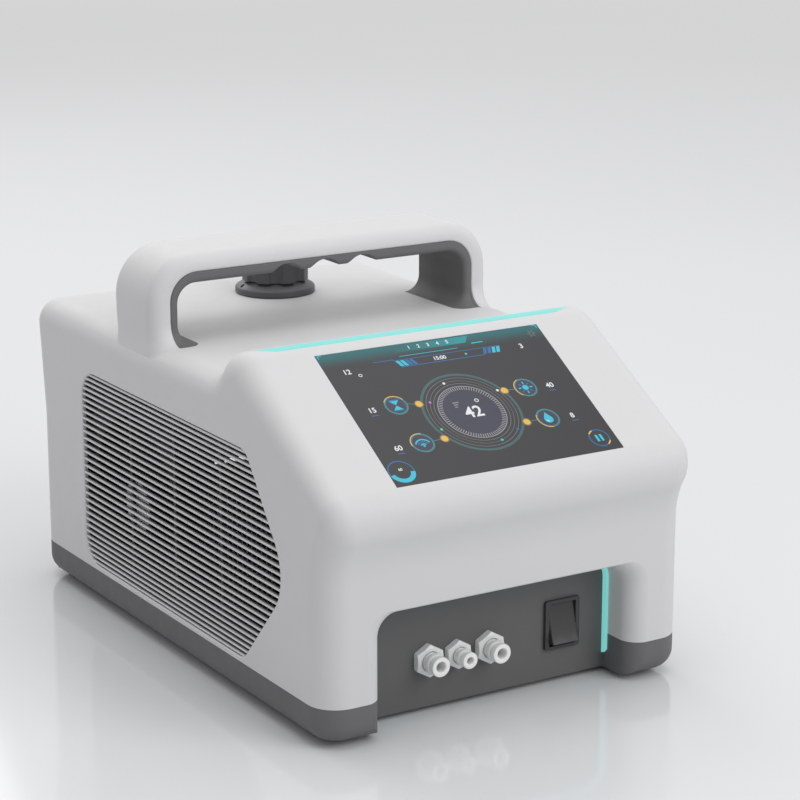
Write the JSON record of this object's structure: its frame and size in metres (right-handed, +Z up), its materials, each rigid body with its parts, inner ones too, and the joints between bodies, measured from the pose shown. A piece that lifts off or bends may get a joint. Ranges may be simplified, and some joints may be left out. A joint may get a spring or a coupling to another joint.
{
  "type": "hot cold therapy machine",
  "caption": "Desktop hot and cold therapy unit with a carry handle, slanted touch screen, side grilles, a filler cap and tube ports with a power switch in a front arch.",
  "frame": {"origin": "centre of the bounding box on the surface that the feet stand on", "axes": "+Z up, -Y towards the user (screen and ports), +X to the user's right, +Y towards the rear wall"},
  "size_m": [0.25, 0.392, 0.2435],
  "materials": {
    "housing": "fine satin moulding",
    "tray": "fine matt moulding",
    "liner": "soft-touch matt",
    "light": "translucent diffuser, lit",
    "panel": "fine matt",
    "display": "cover lens, gloss, with a lit screen behind it",
    "board_black": "plain",
    "steel": "plain zinc finish",
    "rubber": "matt",
    "switch": "semi-gloss",
    "fitting": "semi-gloss moulding",
    "cap": "semi-matt moulding",
    "tank": "milky natural plastic",
    "pump": "plain",
    "aluminium": "mill finish",
    "ceramic": "plain white ceramic",
    "fan": "plain black moulding",
    "board": "solder resist",
    "hose": "milky silicone"
  },
  "bodies": {
    "housing": {"housing_shell": "housing", "base_tray": "tray", "rear_panel": "tray", "handle_liner": "liner", "crest_light": "light", "arch_light": "light", "port_panel": "panel", "display_glass": "display", "lcd_module": "board_black", "display_bracket": "steel", "left_grille": "housing", "right_grille": "housing", "rubber_feet": "rubber", "switch_body": "switch", "supply_fitting": "fitting", "air_fitting": "fitting", "return_fitting": "fitting", "fitting_nuts": "fitting", "filler_neck": "liner", "water_tank": "tank", "level_sensor": "fitting", "tank_bracket": "steel", "pump_motor": "pump", "pump_volute": "pump", "air_pump": "pump", "air_valve": "steel", "cold_block": "aluminium", "left_peltiers": "ceramic", "right_peltiers": "ceramic", "left_heat_sink": "aluminium", "right_heat_sink": "aluminium", "left_fan_frame": "fan", "right_fan_frame": "fan", "fan_screws": "steel", "power_supply": "steel", "control_board": "board", "chassis_plate": "steel", "inlet_socket": "switch", "base_screws": "steel", "rear_screws": "steel", "suction_hose": "hose", "delivery_hose": "hose", "supply_hose": "hose", "return_hose": "hose", "air_hose": "hose"},
    "cap_turn": {"cap_gasket": "rubber"},
    "cap": {"filler_cap": "cap"},
    "rocker": {"rocker_paddle": "switch"},
    "supply_release": {"supply_collar": "fitting"},
    "air_release": {"air_collar": "fitting"},
    "return_release": {"return_collar": "fitting"},
    "left_rotor": {"left_fan_rotor": "fan"},
    "right_rotor": {"right_fan_rotor": "fan"},
    "impeller": {"pump_impeller": "fitting"},
    "fuse": {"fuse_drawer": "switch"}
  },
  "joints": [
    {"name": "cap_turn", "type": "hinge", "parent": "housing", "child": "cap_turn", "pos_m": [0.02, 0.127, 0.192], "axis": [0, 0, 1], "range_deg": [0, 270]},
    {"name": "cap_lift", "type": "slide", "parent": "cap_turn", "child": "cap", "axis": [0, 0, 1], "range_m": [0, 0.06]},
    {"name": "rocker_tilt", "type": "hinge", "parent": "housing", "child": "rocker", "pos_m": [0.0533, -0.1596, 0.0369], "axis": [1, 0, 0], "range_deg": [0, 26]},
    {"name": "supply_press", "type": "slide", "parent": "housing", "child": "supply_release", "axis": [0, 1, 0], "range_m": [0, 0.0015], "stiffness_N_per_m": 400, "springref_m": -0.002},
    {"name": "air_press", "type": "slide", "parent": "housing", "child": "air_release", "axis": [0, 1, 0], "range_m": [0, 0.0015], "stiffness_N_per_m": 400, "springref_m": -0.002},
    {"name": "return_press", "type": "slide", "parent": "housing", "child": "return_release", "axis": [0, 1, 0], "range_m": [0, 0.0015], "stiffness_N_per_m": 400, "springref_m": -0.002},
    {"name": "left_fan_spin", "type": "hinge", "parent": "housing", "child": "left_rotor", "pos_m": [-0.107, 0.057, 0.08], "axis": [-1, 0, 0], "continuous": true},
    {"name": "right_fan_spin", "type": "hinge", "parent": "housing", "child": "right_rotor", "pos_m": [0.107, 0.057, 0.08], "axis": [1, 0, 0], "continuous": true},
    {"name": "impeller_spin", "type": "hinge", "parent": "housing", "child": "impeller", "pos_m": [0.044, 0.123, 0.047], "axis": [0, 0, 1], "continuous": true},
    {"name": "fuse_pull", "type": "slide", "parent": "housing", "child": "fuse", "axis": [0, 1, 0], "range_m": [0, 0.024]}
  ]
}
